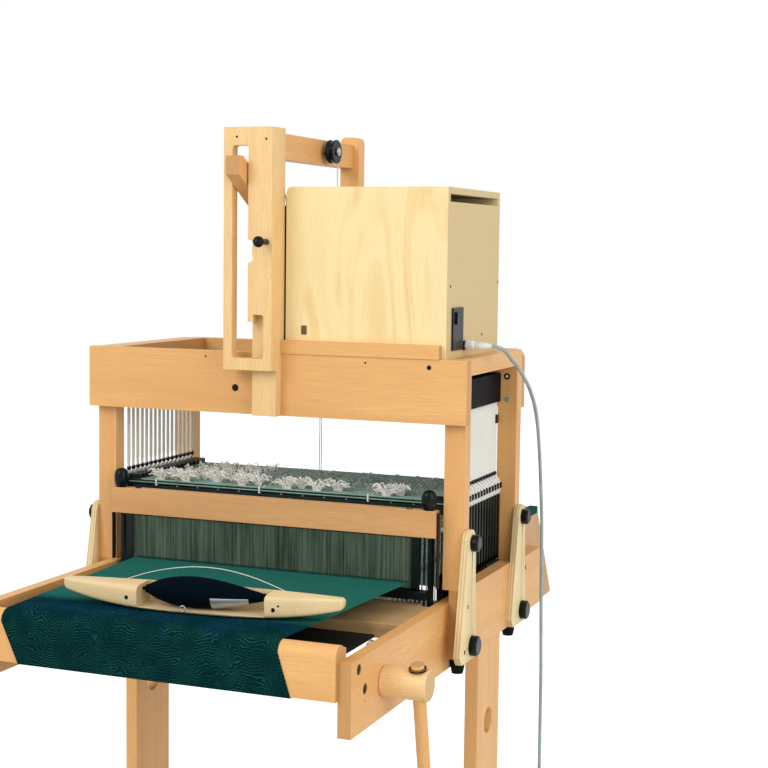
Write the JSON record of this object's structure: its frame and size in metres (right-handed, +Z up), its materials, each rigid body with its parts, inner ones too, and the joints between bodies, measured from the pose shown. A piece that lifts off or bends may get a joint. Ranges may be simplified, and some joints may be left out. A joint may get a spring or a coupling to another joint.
{
  "type": "dobby loom",
  "caption": "Table-height hand loom on a stand, with lift shafts chosen by a computer-driven dobby box, hand lever, swinging beater, cloth and warp beams, and a boat shuttle.",
  "frame": {"origin": "middle of the outline's footprint without the computer lead, on the floor", "axes": "+X to the weaver's right, +Y from the weaver to the back, +Z up"},
  "size_m": [0.73, 0.9028, 1.313],
  "materials": {
    "beech": "satin varnish",
    "birch": "satin varnish",
    "plywood": "satin varnish",
    "pale_wood": "oiled",
    "dark_board": "matt",
    "black_channel": "satin",
    "black_plastic": "gloss",
    "white_plastic": "satin",
    "grey_lead": "satin",
    "rubber": "matt",
    "steel": "brushed",
    "black_metal": "satin",
    "reed": "fine wires",
    "white_cord": "braided",
    "teal_cloth": "woven twill",
    "teal_warp": "parallel threads",
    "navy_yarn": "wound yarn"
  },
  "bodies": {
    "loom": {"front_rail": "beech", "castle_rails": "beech", "castle_posts": "beech", "black_channels": "black_channel", "pull_cords": "white_cord", "base_rails": "beech", "side_arms": "beech", "corner_brackets": "plywood", "black_knobs": "black_plastic", "rubber_feet": "rubber", "breast_beam": "beech", "back_beam": "beech", "rear_cheeks": "beech", "cross_board": "dark_board", "stand_legs": "beech", "stand_feet": "beech", "tower_board": "beech", "tower_post": "beech", "top_arm": "beech", "box_shell": "birch", "box_lid": "birch", "box_ports": "black_plastic", "pivot_pins": "steel", "cloth": "teal_cloth", "warp": "teal_warp", "lead_run": "grey_lead", "lead_coil": "grey_lead", "lead_plugs": "white_plastic"},
    "lever": {"hand_lever": "beech"},
    "lifter": {"lifter": "steel"},
    "pulley": {"lift_pulley": "black_plastic"},
    "beater": {"beater_rail": "beech", "beater_frame": "black_metal", "reed": "reed", "beater_knobs": "black_plastic"},
    "cloth_beam": {"cloth_beam": "beech", "cloth_roll": "teal_cloth"},
    "turning_bar": {"turning_bar": "beech"},
    "cloth_pawl": {"cloth_pawl": "steel"},
    "warp_beam": {"warp_beam": "beech", "warp_roll": "teal_warp"},
    "warp_pawl": {"warp_pawl": "steel"},
    "shuttle": {"shuttle": "pale_wood", "pirn": "navy_yarn"},
    "shaft_01": {"shaft_01": "black_metal"},
    "shaft_02": {"shaft_02": "black_metal"},
    "shaft_03": {"shaft_03": "black_metal"},
    "shaft_04": {"shaft_04": "black_metal"},
    "shaft_05": {"shaft_05": "black_metal"},
    "shaft_06": {"shaft_06": "black_metal"},
    "shaft_07": {"shaft_07": "black_metal"},
    "shaft_08": {"shaft_08": "black_metal"},
    "shaft_09": {"shaft_09": "black_metal"},
    "shaft_10": {"shaft_10": "black_metal"},
    "shaft_11": {"shaft_11": "black_metal"},
    "shaft_12": {"shaft_12": "black_metal"},
    "shaft_13": {"shaft_13": "black_metal"},
    "shaft_14": {"shaft_14": "black_metal"},
    "shaft_15": {"shaft_15": "black_metal"},
    "shaft_16": {"shaft_16": "black_metal"}
  },
  "joints": [
    {"name": "lever_swing", "type": "hinge", "parent": "loom", "child": "lever", "pos_m": [-0.04015, 0.06792, 1.118], "axis": [1, 0, 0], "range_deg": [0, 50], "stiffness_Nm_per_rad": 0.6, "springref_deg": -28.65},
    {"name": "lifter_rise", "type": "slide", "parent": "loom", "child": "lifter", "axis": [0, 0, 1], "range_m": [0, 0.05]},
    {"name": "pulley_turn", "type": "hinge", "parent": "loom", "child": "pulley", "pos_m": [0.02, 0.01293, 1.286], "axis": [1, 0, 0], "range_deg": [0, 186]},
    {"name": "beater_swing", "type": "hinge", "parent": "loom", "child": "beater", "pos_m": [-0.01, -0.11607, 0.624], "axis": [1, 0, 0], "range_deg": [-8, 6]},
    {"name": "cloth_beam_turn", "type": "hinge", "parent": "loom", "child": "cloth_beam", "pos_m": [-0.01, -0.34408, 0.645], "axis": [1, 0, 0], "continuous": true},
    {"name": "turning_bar_slide", "type": "slide", "parent": "cloth_beam", "child": "turning_bar", "axis": [0, -0.2079, 0.9781], "range_m": [0, 0.16]},
    {"name": "cloth_pawl_lift", "type": "hinge", "parent": "loom", "child": "cloth_pawl", "pos_m": [0.2145, -0.30948, 0.676], "axis": [-1, 0, 0], "range_deg": [0, 60]},
    {"name": "warp_beam_turn", "type": "hinge", "parent": "loom", "child": "warp_beam", "pos_m": [-0.01, 0.37193, 0.645], "axis": [1, 0, 0], "continuous": true},
    {"name": "warp_pawl_lift", "type": "hinge", "parent": "loom", "child": "warp_pawl", "pos_m": [-0.2225, 0.33732, 0.676], "axis": [1, 0, 0], "range_deg": [0, 40]},
    {"name": "shuttle_throw", "type": "slide", "parent": "loom", "child": "shuttle", "axis": [0.9976, 0.0694, 0.0023], "range_m": [-0.12, 0.075]},
    {"name": "shaft_01_lift", "type": "slide", "parent": "loom", "child": "shaft_01", "axis": [0, 0, 1], "range_m": [0, 0.05]},
    {"name": "shaft_02_lift", "type": "slide", "parent": "loom", "child": "shaft_02", "axis": [0, 0, 1], "range_m": [0, 0.05]},
    {"name": "shaft_03_lift", "type": "slide", "parent": "loom", "child": "shaft_03", "axis": [0, 0, 1], "range_m": [0, 0.05]},
    {"name": "shaft_04_lift", "type": "slide", "parent": "loom", "child": "shaft_04", "axis": [0, 0, 1], "range_m": [0, 0.05]},
    {"name": "shaft_05_lift", "type": "slide", "parent": "loom", "child": "shaft_05", "axis": [0, 0, 1], "range_m": [0, 0.05]},
    {"name": "shaft_06_lift", "type": "slide", "parent": "loom", "child": "shaft_06", "axis": [0, 0, 1], "range_m": [0, 0.05]},
    {"name": "shaft_07_lift", "type": "slide", "parent": "loom", "child": "shaft_07", "axis": [0, 0, 1], "range_m": [0, 0.05]},
    {"name": "shaft_08_lift", "type": "slide", "parent": "loom", "child": "shaft_08", "axis": [0, 0, 1], "range_m": [0, 0.05]},
    {"name": "shaft_09_lift", "type": "slide", "parent": "loom", "child": "shaft_09", "axis": [0, 0, 1], "range_m": [0, 0.05]},
    {"name": "shaft_10_lift", "type": "slide", "parent": "loom", "child": "shaft_10", "axis": [0, 0, 1], "range_m": [0, 0.05]},
    {"name": "shaft_11_lift", "type": "slide", "parent": "loom", "child": "shaft_11", "axis": [0, 0, 1], "range_m": [0, 0.05]},
    {"name": "shaft_12_lift", "type": "slide", "parent": "loom", "child": "shaft_12", "axis": [0, 0, 1], "range_m": [0, 0.05]},
    {"name": "shaft_13_lift", "type": "slide", "parent": "loom", "child": "shaft_13", "axis": [0, 0, 1], "range_m": [0, 0.05]},
    {"name": "shaft_14_lift", "type": "slide", "parent": "loom", "child": "shaft_14", "axis": [0, 0, 1], "range_m": [0, 0.05]},
    {"name": "shaft_15_lift", "type": "slide", "parent": "loom", "child": "shaft_15", "axis": [0, 0, 1], "range_m": [0, 0.05]},
    {"name": "shaft_16_lift", "type": "slide", "parent": "loom", "child": "shaft_16", "axis": [0, 0, 1], "range_m": [0, 0.05]}
  ],
  "couplings": [
    {"joint": "lifter_rise", "follows": "lever_swing", "m_per_rad": 0.0572},
    {"joint": "pulley_turn", "follows": "lever_swing", "ratio": 3.69}
  ]
}
